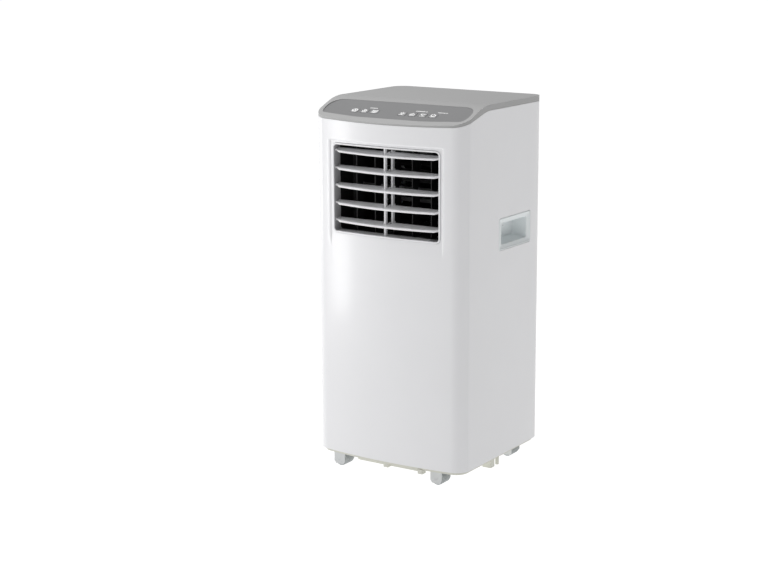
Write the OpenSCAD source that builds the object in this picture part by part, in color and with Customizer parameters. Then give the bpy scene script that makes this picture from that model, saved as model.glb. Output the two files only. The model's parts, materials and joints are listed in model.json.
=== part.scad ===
// Portable air conditioner: a slim tower on four swivel casters.
// Millimetres, +Z up, front towards -Y, origin on the floor under the middle of the body.

/* [Body] */
// Width of the housing, side to side
body_w = 322; // [318:1:326]
// Depth of the housing, from the middle of the bowed front to the back
body_d = 300; // [298:1:304]
// Overall height above the floor
body_h = 695; // [690:1:700]
// Wall thickness of the moulded shells
wall = 2.5; // [2:0.1:3]
// Radius of the bow of the front, seen from above
bow_r = 1000; // [900:50:1400]
// Radius of the front corners
corner_r = 30; // [28:1:34]
// Radius of the rear corners
rear_r = 25; // [22:1:26]
// Height of the bottom edge of the housing above the floor
panel_z = 36; // [35:1:39]
// Distance of the side seam from the middle of the depth, towards the front
seam_y = -120; // [-124:1:-116]

/* [Top cover] */
// Width of the control fascia
fascia_w = 306; // [290:2:308]
// Slope of the control area, in degrees
top_slope = 22.5; // [20:0.5:25]
// Radius that blends the flat top into the slope
blend_r = 120; // [100:5:140]
// Height of the seam under the cover at the back
split_z = 685; // [683:1:687]
// Slope of that seam towards the front, in degrees
split_slope = 16; // [14:0.5:17]

/* [Air outlet] */
// Width of the outlet opening
outlet_w = 230.4; // [226:0.2:234]
// Height of the outlet opening
outlet_h = 165.2; // [164:0.2:168]
// Height of the middle of the outlet
outlet_z = 537; // [535:1:539]
// Distance between neighbouring blades
blade_pitch = 32; // [31:0.5:33]
// Forward tilt of the blades at rest, in degrees
blade_tilt = 16; // [10:1:20]
// Distance between neighbouring deflector vanes
vane_pitch = 40; // [36:1:44]

/* [Base] */
// Underside of the base pan
base_z = 30; // [28:1:31]
// Radius of the caster wheels
wheel_r = 12.5; // [11:0.5:12.5]
// Sideways distance of the casters from the middle
caster_x = 107.5; // [105:0.5:110]
// Lengthways distance of the casters from the middle
caster_y = 108; // [104:1:110]

/* [Air exhaust] */
// Inside radius of the hose collar on the back
collar_r = 65; // [60:1:65]
// Height of the hose collar
collar_z = 325; // [322:1:328]

/* [Hidden] */

$fn = 48;
gap = 0.3;              // clearance between separate mouldings
fit = 0.05;             // radial clearance of a pin in its bore
over = 1;               // how far a cut runs past a face
front_y = -body_d / 2;
rear_y = body_d / 2;
bow_cy = front_y + bow_r;
join = 0.1;             // how far two shapes of one piece overlap
blend_y = -45;          // where the flat top begins to bend
rear_flat = body_w / 2 - rear_r;    // half width of the flat part of the back

// colours
shell_white = [0.90, 0.90, 0.91];
base_cream = [0.88, 0.88, 0.85];
cover_grey = [0.67, 0.67, 0.67];
fascia_grey = [0.54, 0.54, 0.55];
handle_white = [0.80, 0.83, 0.83];
wheel_grey = [0.62, 0.64, 0.64];
duct_black = [0.05, 0.05, 0.05];
metal_grey = [0.72, 0.73, 0.75];
copper = [0.78, 0.46, 0.30];
board_green = [0.10, 0.35, 0.18];

// blades
blade_count = 5;
blade_y = front_y + 14;
blade_z0 = outlet_z - 59.6;
blade_half = 111.2;
blade_nose = 12.8;      // from the pivot axis to the middle of the front edge
blade_back = 10;        // from the pivot axis to the rear edge
blade_t = 2.2;
bead_t = 4.2;
pin_r = 2;
link_arm = 13;          // from the pivot axis to the link's pins
link_pin_r = 1.2;
link_x = 1.7;
link_end = 2.4;         // how far the link reaches past its outer pins
link_w = 3.4;
link_y = blade_y + link_arm * cos(blade_tilt);
link_z = blade_z0 + link_arm * sin(blade_tilt);
rib_x = -4;
rib_w = 3;

// sleeve behind the outlet opening
sleeve_t = 2.7;
sleeve_w = outlet_w - 0.8;
sleeve_h = outlet_h - 0.8;
sleeve_back = front_y + 68;
outlet_corner = 9;

// vanes
vane_y = front_y + 46;
vane_chord = 24;
vane_t = 1.6;
vane_pin_r = 1.5;
vane_arm = 15;
vane_count = 5;
vane_link_z = outlet_z + 3;

// fans and ducts
evap_y = 20;
evap_z = 520;
evap_r = 84;
evap_w = 184;
evap_inlet_r = 52;
evap_fan_r = 70;
cond_y = 5;
cond_r = 60;
cond_w = 136;
cond_inlet_r = 40;
cond_fan_r = 52;
duct_h = 66;            // half height of the condenser's duct
shaft_r = 4;
duct_t = 2;
duct_end = 97.8;        // where the condenser's duct meets the hose collar
flange_w = 134.6;

// heat exchangers, filters and decks
coil_w = 236;
coil_y = 110;
coil_d = 18;
evap_coil = [410, 650];
cond_coil = [70, 250];
filter_w = 240;
upper_open = [440, 645];
lower_open = [75, 250];
filter_t = 9;
deck_z = 400;

// side handles
handle_y = 44;
handle_z = 455;
handle_l = 117;
handle_h = 59;
handle_depth = 35;
handle_r = 5;
grip_l = 93;            // opening of the grip
grip_h = 39;
grip_r = 4;

// control area
key_y = -112;
key_x = [-86, -64.5, -43, 16.5, 38, 59.5, 81];
key_size = [17, 13];
fascia_front = 26;      // from the keys' line down to the middle of the fascia's front edge
fascia_top = 38;        // from the keys' line up to the fascia's rear edge
fascia_r = 26;
fascia_drop = 1.4;      // how far the fascia lies below the surface of the slope
fascia_t = 2.7;
fascia_rim = 1.5;       // thickness of the rim that holds it under the cover
key_proud = 0.5;        // how far a key stands above the fascia
collar_top = -fascia_drop - fascia_t - fascia_rim - 0.5;
board_z = collar_top - 5;

// small things on the back
gland_pos = [-115, collar_z];
gland_r = 8;
gland_bore_r = 4.2;
drain_upper = [100, 412];
drain_lower = [60, 52];
drain_r = 6.5;
drain_bore = 5;
screw_pos = [for (x = [-129, 129]) for (z = [62, 262, 405, 662]) [x, z]];
screw_r = 1.5;
screw_sink = 1.7;       // depth of the pocket a screw head sits in
screw_head_r = 3.5;
boss_r = 5;

// base pan
pan_inset = 7;          // of the part that shows, from the housing's outline
pan_top = base_z + 20;
pan_floor = 3;
socket_t = 5;           // wall of the sockets for the casters' stems
tab_x = [-3, 72];        // small tabs under the front edge
tab_w = 10;
tab_h = 3;
belly = [148, 242];     // skirt under the middle of the pan, between the casters
belly_y = -17;
belly_z = 25.5;
ledge_x = [126, 146];   // ledge at each side, behind the peg
ledge_y = [31, 59];
foot_x = 137;           // feet that keep the tower from tipping sideways
foot_y = -12;
foot_w = 18;
foot_d = 14;
foot_h = 20;
peg_x = 140;            // round pegs behind the feet
peg_y = 22;
peg_r = 3.5;
peg_h = 22;

// casters
trail = 11.5;           // from the swivel axis to the axle
tread_w = 28;
cheek_t = 2.2;
cheek_reach = [12.5, 11];   // how far a cheek reaches past the axle, away from the stem and towards it
cheek_z = [4, 9];       // bottom of a cheek, and where its lower corners begin
crown_back = 6;         // how far the fork's crown reaches past the stem
fork_top = base_z - gap;
cheek_y = tread_w / 2 + 0.5;
stem_r = 4;
stem_l = 15;            // how far the stem reaches into the pan
axle_r = 2;
groove_pitch = 4.6;
groove_t = 1.4;
groove_d = 0.8;

// machinery
compressor_xy = [-75, -55];
compressor_r = 50;
splash_pos = [60, 75];
splash_motor_r = 18;
splash_shaft_r = 2.5;

// Points of an arc, from step i0 to step i1 of n
function arc(c, r, a0, a1, n, i0, i1) =
    [for (i = [i0:i1]) let (a = a0 + (a1 - a0) * i / n) [c.x + r * cos(a), c.y + r * sin(a)]];

// Plan outline of the housing, moved inwards by t: bowed front, rounded corners, flat back
function outline(t) =
    let (cx = body_w / 2 - corner_r)
    let (cy = bow_cy - sqrt(pow(bow_r - corner_r, 2) - cx * cx))
    let (a = atan2(cx, bow_cy - cy))
    let (rx = body_w / 2 - rear_r)
    let (ry = rear_y - rear_r)
    concat(
        arc([0, bow_cy], bow_r - t, 270 - a, 270 + a, 24, 0, 24),
        arc([cx, cy], corner_r - t, 270 + a, 360, 8, 1, 8),
        arc([rx, ry], rear_r - t, 0, 90, 8, 0, 8),
        arc([-rx, ry], rear_r - t, 90, 180, 8, 0, 8),
        arc([-cx, cy], corner_r - t, 180, 270 - a, 8, 0, 7)
    );

// A line seen from the side: level from the back to blend_y, a bend of radius r, then a slope
function side_line(z, r, slope, t) =
    let (end = [blend_y - (r - t) * sin(slope), z - r + (r - t) * cos(slope)])
    let (run = end.x - (front_y - 5))
    concat(
        [[rear_y + 5, z - t]],
        arc([blend_y, z - r], r - t, 90, 90 + slope, 10, 0, 10),
        [[front_y - 5, end.y - run * tan(slope)]]
    );
function top_line(t) = side_line(body_h, blend_r, top_slope, t);
function seam_line(t) = side_line(split_z, 100, split_slope, t);
function below(points) = concat(points, [[front_y - 5, 0], [rear_y + 5, 0]]);
function reversed(points) = [for (i = [len(points) - 1:-1:0]) points[i]];

// Rounded rectangle around the origin
function rounded(w, h, r) =
    concat(
        arc([w / 2 - r, h / 2 - r], r, 0, 90, 6, 0, 6),
        arc([-w / 2 + r, h / 2 - r], r, 90, 180, 6, 0, 6),
        arc([-w / 2 + r, -h / 2 + r], r, 180, 270, 6, 0, 6),
        arc([w / 2 - r, -h / 2 + r], r, 270, 360, 6, 0, 6)
    );

module prism(t, z0, z1) translate([0, 0, z0]) linear_extrude(z1 - z0) polygon(outline(t));
module yz_prism(points) rotate([90, 0, 90]) linear_extrude(body_w + 20, center = true) polygon(points);
module block(x0, x1, y0, y1, z0, z1) translate([x0, y0, z0]) cube([x1 - x0, y1 - y0, z1 - z0]);

// A plate with rounded corners whose face is square to Y, from y0 to y1
module y_plate(x, z, w, h, r, y0, y1)
    translate([x, y1, z]) rotate([90, 0, 0]) linear_extrude(y1 - y0) polygon(rounded(w, h, r));
// A rod along X, Y or Z
module x_rod(y, z, r, x0, x1) translate([x0, y, z]) rotate([0, 90, 0]) cylinder(h = x1 - x0, r = r);
module y_rod(x, z, r, y0, y1) translate([x, y1, z]) rotate([90, 0, 0]) cylinder(h = y1 - y0, r = r);
module z_rod(x, y, r, z0, z1) translate([x, y, z0]) cylinder(h = z1 - z0, r = r);

// Frame of the sloping control area: x across, y up the slope, z out of the surface
slope_top = [blend_y - blend_r * sin(top_slope), body_h - blend_r + blend_r * cos(top_slope)];
slope_z = slope_top.y - (slope_top.x - key_y) * tan(top_slope);
module on_slope(x) translate([x, key_y, slope_z]) rotate([top_slope, 0, 0]) children();

// ---- housing ----

// Tray with a socket for each caster stem and a skirt between the casters, two tabs at the front,
// and a foot, a peg and a ledge at each side
module base_pan() color(base_cream) {
    difference() {
        union() {
            difference() {
                union() {
                    prism(pan_inset, base_z, panel_z + 4);
                    prism(wall + 0.7, panel_z + 3, pan_top);
                }
                prism(pan_inset + wall, base_z + pan_floor, pan_top + over);
            }
            for (x = [-caster_x, caster_x])
                for (y = [-caster_y, caster_y])
                    z_rod(x, y, stem_r + socket_t, base_z + 2, pan_top);
            for (x = tab_x)
                block(x - tab_w / 2, x + tab_w / 2, front_y + 8, front_y + 20, belly_z - tab_h, base_z + over);
            translate([0, belly_y, belly_z]) difference() {
                linear_extrude(base_z - belly_z + over) polygon(rounded(belly.x, belly.y, 12));
                translate([0, 0, -over]) linear_extrude(base_z - belly_z + over)
                    polygon(rounded(belly.x - 2 * wall, belly.y - 2 * wall, 12 - wall));
            }
            for (side = [-1, 1]) {
                block(min(side * ledge_x), max(side * ledge_x), ledge_y[0], ledge_y[1], belly_z, base_z + over);
                block(side * foot_x - foot_w / 2, side * foot_x + foot_w / 2, foot_y, foot_y + foot_d,
                    base_z - foot_h, base_z + over);
                z_rod(side * peg_x, peg_y, peg_r, base_z - peg_h, base_z + over);
            }
            y_rod(drain_lower.x, drain_lower.y, drain_r, rear_y - 14, rear_y - 1.6);
        }
        for (x = [-caster_x, caster_x])
            for (y = [-caster_y, caster_y])
                z_rod(x, y, stem_r + fit, base_z - over, base_z + stem_l + 2);
        y_rod(drain_lower.x, drain_lower.y, drain_bore, rear_y - 12, rear_y);
    }
}

module housing_ring() intersection() {
    difference() {
        prism(0, panel_z, body_h);
        prism(wall, panel_z - over, body_h + over);
    }
    yz_prism(below(seam_line(gap)));
}

module front_panel() color(shell_white) difference() {
    housing_ring();
    block(-body_w, body_w, seam_y - gap / 2, body_d, 0, body_h + over);
    y_plate(0, outlet_z, outlet_w, outlet_h, outlet_corner, front_y - over, front_y + 20);
}

module filter_rails(z0, z1) difference() {
    block(-filter_w / 2 - 3, filter_w / 2 + 3, rear_y - 13, rear_y - wall + join, z0 - 3, z1 + 3);
    block(-filter_w / 2, filter_w / 2, rear_y - 14, rear_y, z0, z1);
}

// One side with its rounded rear corner, and the hole for its handle; side is -1 or 1
module side_panel(side) color(shell_white) difference() {
    intersection() {
        housing_ring();
        block(side > 0 ? rear_flat + gap / 2 : -body_w, side > 0 ? body_w : -rear_flat - gap / 2,
            seam_y + gap / 2, body_d, 0, body_h + over);
    }
    translate([side * body_w / 2, handle_y, handle_z]) rotate([90, 0, 90])
        linear_extrude(20, center = true) polygon(rounded(handle_l + 0.4, handle_h + 0.4, handle_r));
}

module rear_panel() color(shell_white) difference() {
    union() {
        intersection() {
            housing_ring();
            block(-rear_flat + gap / 2, rear_flat - gap / 2, 0, body_d, 0, body_h + over);
        }
        for (span = [upper_open, lower_open]) filter_rails(span[0], span[1]);
        for (p = screw_pos) y_rod(p.x, p.y, boss_r, rear_y - 20, rear_y - wall + join);
    }
    for (span = [upper_open, lower_open])
        block(-filter_w / 2, filter_w / 2, rear_y - 14, rear_y + over, span[0], span[1]);
    y_rod(0, collar_z, collar_r + 3, rear_y - 10, rear_y + over);
    y_rod(gland_pos.x, gland_pos.y, gland_r + gap / 2, rear_y - 10, rear_y + over);
    for (p = [drain_upper, drain_lower]) y_rod(p.x, p.y, drain_r + gap, rear_y - 10, rear_y + over);
    for (p = screw_pos) {
        y_rod(p.x, p.y, screw_r + join, rear_y - 16, rear_y + over);
        y_rod(p.x, p.y, screw_head_r + 0.2, rear_y - screw_sink - join, rear_y + over);
    }
}

module fascia_outline(grow) intersection() {
    translate([0, (fascia_top - fascia_front) / 2 + 1])
        polygon(rounded(fascia_w + 2 * grow, fascia_top + fascia_front - 2 + 2 * grow, fascia_r + grow));
    translate([0, bow_r - fascia_front - grow]) circle(r = bow_r, $fn = 720);
}

module top_cover() color(cover_grey) difference() {
    intersection() {
        prism(0, 600, body_h + over);
        yz_prism(concat(top_line(0), reversed(seam_line(0))));
    }
    intersection() {
        prism(wall, 600, body_h + over);
        yz_prism(below(top_line(wall)));
    }
    on_slope(0) translate([0, 0, -6]) linear_extrude(12) fascia_outline(0.15);
}

// ---- control area ----

module control_fascia() color(fascia_grey) difference() {
    plate_z = -fascia_drop - fascia_t;
    on_slope(0) {
        translate([0, 0, plate_z]) linear_extrude(fascia_t) fascia_outline(0);
        translate([0, 0, plate_z - fascia_rim + join]) linear_extrude(fascia_rim) fascia_outline(2);
    }
    for (x = key_x)
        on_slope(x) translate([0, 0, -8]) linear_extrude(8) polygon(rounded(key_size.x, key_size.y, 2));
}

module display_board() color(board_green) on_slope(0) translate([-105, -17, board_z]) {
    cube([210, 36, 1.6]);
    for (x = key_x) translate([x + 105 - 3, 14, 1.5]) cube([6, 6, 0.5]);
}

// Key cap with a collar under the fascia that keeps it in
module key(i) color(fascia_grey) on_slope(key_x[i]) {
    cap = [key_size.x - 2 * gap, key_size.y - 2 * gap];
    translate([0, 0, collar_top - 1]) linear_extrude(1 - collar_top - fascia_drop + key_proud)
        polygon(rounded(cap.x, cap.y, 1.7));
    translate([0, 0, collar_top - 1.2]) linear_extrude(1.2)
        polygon(rounded(key_size.x + 2, key_size.y + 2, 2));
}

// ---- air outlet ----

module louver_frame() color(shell_white) difference() {
    union() {
        intersection() {
            difference() {
                y_plate(0, outlet_z, sleeve_w, sleeve_h, outlet_corner - 0.4, front_y - over, sleeve_back);
                y_plate(0, outlet_z, sleeve_w - 2 * sleeve_t, sleeve_h - 2 * sleeve_t,
                    outlet_corner - 3, front_y - 2, sleeve_back + over);
            }
            prism(0.1, 400, 650);
        }
        block(rib_x - rib_w / 2, rib_x + rib_w / 2, blade_y - 3, blade_y + 3,
            outlet_z - sleeve_h / 2 + 1, outlet_z + sleeve_h / 2 - 1);
    }
    for (i = [0:blade_count - 1])
        x_rod(blade_y, blade_z0 + i * blade_pitch, pin_r + fit, -sleeve_w / 2 - over, sleeve_w / 2 + over);
    for (i = [0:vane_count - 1])
        z_rod((i - 2) * vane_pitch, vane_y, vane_pin_r + fit, outlet_z - 100, outlet_z + 100);
}

// Front edge of a blade in plan, through y at the middle: it follows the bow, and its ends are cut back
function blade_front(y) = concat(
    [[-blade_half, y + bow_drop(blade_half - 10) + 6]],
    [for (i = [-10:10]) let (x = i * (blade_half - 10) / 10) [x, y + bow_drop(x)]],
    [[blade_half, y + bow_drop(blade_half - 10) + 6]]
);
function bow_drop(x) = bow_r - sqrt(bow_r * bow_r - x * x);

module louver_blade(i) color(shell_white)
    translate([0, blade_y, blade_z0 + i * blade_pitch]) rotate([blade_tilt, 0, 0]) {
        difference() {
            union() {
                translate([0, 0, -blade_t / 2]) linear_extrude(blade_t) polygon(concat(
                    blade_front(-blade_nose), [[blade_half, blade_back], [-blade_half, blade_back]]));
                translate([0, 0, -bead_t / 2]) linear_extrude(bead_t) polygon(concat(
                    blade_front(-blade_nose), reversed(blade_front(-blade_nose + 4))));
            }
            block(rib_x - rib_w / 2 - 0.8, rib_x + rib_w / 2 + 0.8, -6.5, blade_back + over, -3, 3);
            block(link_x - 1.2, link_x + link_w + 1, 4, blade_back + over, -3, 3);
        }
        for (side = [-1, 1])
            translate([side * blade_half, 0, 0]) rotate([0, 90, 0]) cylinder(h = 6.4, r = pin_r, center = true);
        block(link_x + link_w + 1, link_x + link_w + 2.6, blade_back - 3, link_arm + 2, -blade_t / 2, blade_t / 2);
        x_rod(link_arm, 0, link_pin_r - fit, link_x - 0.5, link_x + link_w + 1.2);
    }

module louver_link() color(shell_white) difference() {
    block(link_x, link_x + link_w, link_y - 3, link_y + 3,
        link_z - link_end, link_z + (blade_count - 1) * blade_pitch + link_end);
    for (i = [0:blade_count - 1])
        x_rod(link_y, link_z + i * blade_pitch, link_pin_r, link_x - over, link_x + link_w + over);
}

module vane(i) color(duct_black) translate([(i - 2) * vane_pitch, vane_y, 0]) {
    vane_half = sleeve_h / 2 - sleeve_t - 0.6;
    difference() {
        block(-vane_t / 2, vane_t / 2, -vane_chord / 2, vane_chord / 2, outlet_z - vane_half, outlet_z + vane_half);
        block(-2, 2, 6, vane_chord, vane_link_z - 3.5, vane_link_z + 3.4);
    }
    for (side = [-1, 1])
        translate([0, 0, outlet_z + side * (vane_half + 0.6)]) cylinder(h = 4.4, r = vane_pin_r, center = true);
    block(-vane_t / 2, vane_t / 2, 8, vane_arm + 2, vane_link_z + 3.4, vane_link_z + 5);
    z_rod(0, vane_arm, link_pin_r - fit, vane_link_z - 1.6, vane_link_z + 3.6);
}

module vane_link() color(duct_black) difference() {
    block(-2 * vane_pitch - 4, 2 * vane_pitch + 4, vane_y + vane_arm - 3, vane_y + vane_arm + 3,
        vane_link_z - 2.2, vane_link_z + 2.2);
    for (i = [0:vane_count - 1])
        z_rod((i - 2) * vane_pitch, vane_y + vane_arm, link_pin_r, vane_link_z - 4, vane_link_z + 4);
}

// ---- side handles ----

module handle(side) color(handle_white)
    translate([side * body_w / 2, handle_y, handle_z]) rotate([90, 0, 90]) difference() {
        translate([0, 0, side > 0 ? -handle_depth : 0])
            linear_extrude(handle_depth) polygon(rounded(handle_l, handle_h, handle_r));
        translate([0, 0, side > 0 ? -handle_depth + wall : -over])
            linear_extrude(handle_depth - wall + over) polygon(rounded(grip_l, grip_h, grip_r));
    }

// ---- heat exchangers and ducts ----

module coil(span) color(metal_grey) {
    block(-coil_w / 2, coil_w / 2, coil_y + 1, coil_y + coil_d - 1, span[0] + 1, span[1] - 1);
    for (side = [-1, 1])
        block(side * coil_w / 2 - 1, side * coil_w / 2 + 1, coil_y, coil_y + coil_d, span[0], span[1]);
}

module mid_deck() color(base_cream) difference() {
    union() {
        block(-155, 155, -78, 125, deck_z, deck_z + 3);
        for (y = [104, 129]) block(-122, 122, y, y + 2, deck_z + 2.9, deck_z + 8);
        block(-122, 122, 124, 131, deck_z, deck_z + 3);
        y_rod(drain_upper.x, drain_upper.y, drain_r, 129.5, rear_y - 1.6);
        block(drain_upper.x - 4, drain_upper.x + 4, 129, 134, deck_z + 1, drain_upper.y - 5);
    }
    y_rod(drain_upper.x, drain_upper.y, drain_bore, rear_y - 16, rear_y);
    z_rod(-110, -55, 6, deck_z - over, deck_z + 4);
}

// Drum housing whose mouth ends in a flange against the back of the louver frame
module evaporator_scroll() color(duct_black) difference() {
    union() {
        x_rod(evap_y, evap_z, evap_r, -evap_w / 2, evap_w / 2);
        block(-evap_w / 2, evap_w / 2, sleeve_back + 1, evap_y, 470, evap_z + evap_r);
        block(-sleeve_w / 2, sleeve_w / 2, sleeve_back + 0.2, sleeve_back + 6,
            outlet_z - sleeve_h / 2, outlet_z + sleeve_h / 2);
    }
    x_rod(evap_y, evap_z, evap_r - duct_t, -evap_w / 2 + duct_t, evap_w / 2 - duct_t);
    block(-evap_w / 2 + duct_t, evap_w / 2 - duct_t, sleeve_back, evap_y, 472, evap_z + evap_r - duct_t);
    x_rod(evap_y, evap_z, evap_inlet_r, -body_w, body_w);
}

module condenser_scroll() color(duct_black) difference() {
    union() {
        x_rod(cond_y, collar_z, cond_r, -cond_w / 2, cond_w / 2);
        block(-cond_w / 2, cond_w / 2, cond_y, duct_end, collar_z - duct_h, collar_z + duct_h);
    }
    x_rod(cond_y, collar_z, cond_r - duct_t, -cond_w / 2 + duct_t, cond_w / 2 - duct_t);
    block(-cond_w / 2 + duct_t, cond_w / 2 - duct_t, cond_y, duct_end + over,
        collar_z - duct_h + duct_t, collar_z + duct_h - duct_t);
    x_rod(cond_y, collar_z, cond_inlet_r, -body_w, body_w);
}

// Drum fan on a shaft along X; `out` is how far the shaft reaches past the drum, `side` which way
module drum_fan(y, z, r, w, out, side) color(metal_grey) {
    difference() {
        x_rod(y, z, r, -w / 2, w / 2);
        x_rod(y, z, r - 8, -w / 2 - over, -1);
        x_rod(y, z, r - 8, 1, w / 2 + over);
        for (i = [0:23])
            translate([0, y, z]) rotate([i * 15, 0, 0])
                for (x = [-w / 4, w / 4]) translate([x, 0, r - 4]) cube([w / 2 - 7, r * 0.16, 12], center = true);
    }
    x_rod(y, z, 9, -12, 12);
    x_rod(y, z, shaft_r, side > 0 ? -10 : -w / 2 - out, side > 0 ? w / 2 + out : 10);
}

// Motor from x0 to x1, with three arms from a0 to a1 that reach the wall of its scroll
module fan_motor(y, z, r, x0, x1, a0, a1, reach) difference() {
    union() {
        x_rod(y, z, r, x0, x1);
        for (a = [0, 120, 240]) translate([0, y, z]) rotate([a, 0, 0]) block(a0, a1, -5, 5, r - 8, reach);
    }
    x_rod(y, z, shaft_r + fit, x0 - 6, x1 + 6);
}

module fan_motors() color(metal_grey) {
    fan_motor(evap_y, evap_z, 33, 96, 122, evap_w / 2 + 0.2, 99, 60);
    fan_motor(cond_y, collar_z, 26, -104, -72, -75, -cond_w / 2 - 0.2, 50);
}

module exhaust_collar() color(shell_white) difference() {
    union() {
        y_rod(0, collar_z, collar_r + wall, duct_end + 0.2, rear_y);
        y_plate(0, collar_z, flange_w, flange_w, 4, duct_end + 0.2, duct_end + 0.2 + wall);
    }
    y_rod(0, collar_z, collar_r, duct_end - over, rear_y + over);
}

module cord_gland() color(duct_black) difference() {
    union() {
        y_rod(gland_pos.x, gland_pos.y, gland_r, rear_y - 12, rear_y);
        y_rod(gland_pos.x, gland_pos.y, gland_r + 3, rear_y - 12, rear_y - wall - 0.2);
    }
    y_rod(gland_pos.x, gland_pos.y, gland_bore_r, rear_y - 13, rear_y + over);
}

// ---- machinery ----

module compressor() color(duct_black) translate([compressor_xy.x, compressor_xy.y, 0]) {
    rotate_extrude() polygon(concat([[0, 54], [30, 54], [compressor_r, 62]],
        arc([compressor_r - 16, 224], 16, 0, 90, 6, 0, 6), [[0, 240]]));
    for (a = [90, 210, 330]) rotate(a) block(20, 66, -9, 9, 48.2, 54.5);
}

module compressor_mounts() color(duct_black)
    for (a = [90, 210, 330])
        translate([compressor_xy.x, compressor_xy.y, base_z + pan_floor]) rotate(a)
            translate([57, 0, 0]) cylinder(h = 15, r = 8);

// Round tube through a list of points
module tube_run(points, r) {
    for (i = [0:len(points) - 2]) {
        d = points[i + 1] - points[i];
        translate(points[i]) rotate([0, acos(d.z / norm(d)), atan2(d.y, d.x)]) cylinder(h = norm(d), r = r);
    }
    for (i = [1:1:len(points) - 2]) translate(points[i]) sphere(r = r);
}

module refrigerant_pipes() color(copper) {
    tube_run([[-75, -55, 240.2], [-75, -55, 258], [-110, -55, 258], [-110, -55, 560], [-110, 109.8, 560]], 4);
    tube_run([[-95, -55, 240.2], [-95, -55, 249], [-95, 100, 249], [-95, 100, 235], [-95, 109.8, 235]], 3);
}

module control_box() color(metal_grey) difference() {
    block(-80, 80, -10, 80, 625, 668);
    block(-78, 78, -8, 78, 627, 669);
}

module main_board() color(board_green) {
    block(-70, 70, 0, 70, 630, 631.6);
    for (x = [-60, 60]) for (y = [8, 62]) z_rod(x, y, 3, 627.1, 630.5);
    block(-55, -15, 15, 45, 631.5, 655);
    z_rod(25, 30, 12, 631.5, 660);
}

module splash_motor() color(metal_grey) difference() {
    union() {
        y_rod(splash_pos.x, splash_pos.y, splash_motor_r, 50, 86);
        block(splash_pos.x - 10, splash_pos.x + 10, 56, 80, base_z + pan_floor + join, splash_pos.y - 10);
    }
    y_rod(splash_pos.x, splash_pos.y, splash_shaft_r + fit, 70, 88);
}

module splash_wheel() color(shell_white) {
    y_rod(splash_pos.x, splash_pos.y, splash_shaft_r, 72, 95);
    y_rod(splash_pos.x, splash_pos.y, 8, 88, 95);
    for (a = [0:45:315])
        translate([splash_pos.x, 92.5, splash_pos.y]) rotate([0, a, 0]) block(6, 30, -1.5, 1.5, -3, 3);
    difference() {
        y_rod(splash_pos.x, splash_pos.y, 24, 91.5, 93.5);
        y_rod(splash_pos.x, splash_pos.y, 20, 91, 94);
    }
}

// ---- rear panels and plugs ----

module filter_panel(span) color(shell_white) {
    play = 0.4;
    w = filter_w - 2 * play;
    z0 = span[0] + play;
    z1 = span[1] - play;
    slats = floor((z1 - z0 - 16) / 9);
    step = (z1 - z0 - 16) / slats;
    difference() {
        block(-w / 2, w / 2, rear_y - filter_t, rear_y - 0.3, z0, z1);
        for (side = [-1, 1])
            for (i = [0:slats - 1])
                translate([side * (w / 4 - 1.5), rear_y - 4, z0 + 8 + (i + 0.5) * step])
                    cube([w / 2 - 11, 20, step - 3], center = true);
    }
}

module drain_plug(p) color(duct_black) {
    y_rod(p.x, p.y, drain_bore - 0.1, rear_y - 10, rear_y - 1.4);
    y_rod(p.x, p.y, drain_r - 0.3, rear_y - 1.5, rear_y - 0.2);
}

module screws() color(metal_grey)
    for (p = screw_pos) {
        y_rod(p.x, p.y, screw_r, rear_y - 14, rear_y - screw_sink + join);
        y_rod(p.x, p.y, screw_head_r, rear_y - screw_sink, rear_y - 0.2);
    }

// ---- casters ----

// Fork whose cheeks cover the sides of its wheel; the axle lies `trail` from the stem, towards -X before the turn
module caster_fork(x, y, turn) color(shell_white) translate([x, y, 0]) rotate(turn) {
    far = -trail - cheek_reach.x;
    near = -trail + cheek_reach.y;
    z_rod(0, 0, stem_r, base_z - 4, base_z + stem_l);
    difference() {
        union() {
            block(far, crown_back, -cheek_y - cheek_t, cheek_y + cheek_t, wheel_r * 2 + 1, fork_top);
            for (side = [-1, 1])
                translate([0, side * (cheek_y + cheek_t / 2), 0]) rotate([90, 0, 0])
                    linear_extrude(cheek_t, center = true) polygon([[near, fork_top], [near, cheek_z.y],
                        [near - 4, cheek_z.x], [far + 4, cheek_z.x], [far, cheek_z.y], [far, fork_top]]);
        }
        y_rod(-trail, wheel_r, axle_r + fit, -cheek_y - cheek_t - over, cheek_y + cheek_t + over);
    }
}

// Wide roller with grooves round its tread
module caster_wheel(x, y, turn) color(wheel_grey) translate([x, y, 0]) rotate(turn) translate([-trail, 0, 0]) {
    difference() {
        y_rod(0, wheel_r, wheel_r, -tread_w / 2, tread_w / 2);
        for (g = [-2:2]) difference() {
            y_rod(0, wheel_r, wheel_r + over, g * groove_pitch - groove_t / 2, g * groove_pitch + groove_t / 2);
            y_rod(0, wheel_r, wheel_r - groove_d, g * groove_pitch - over, g * groove_pitch + over);
        }
    }
    y_rod(0, wheel_r, axle_r, -cheek_y - cheek_t, cheek_y + cheek_t);
}

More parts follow.
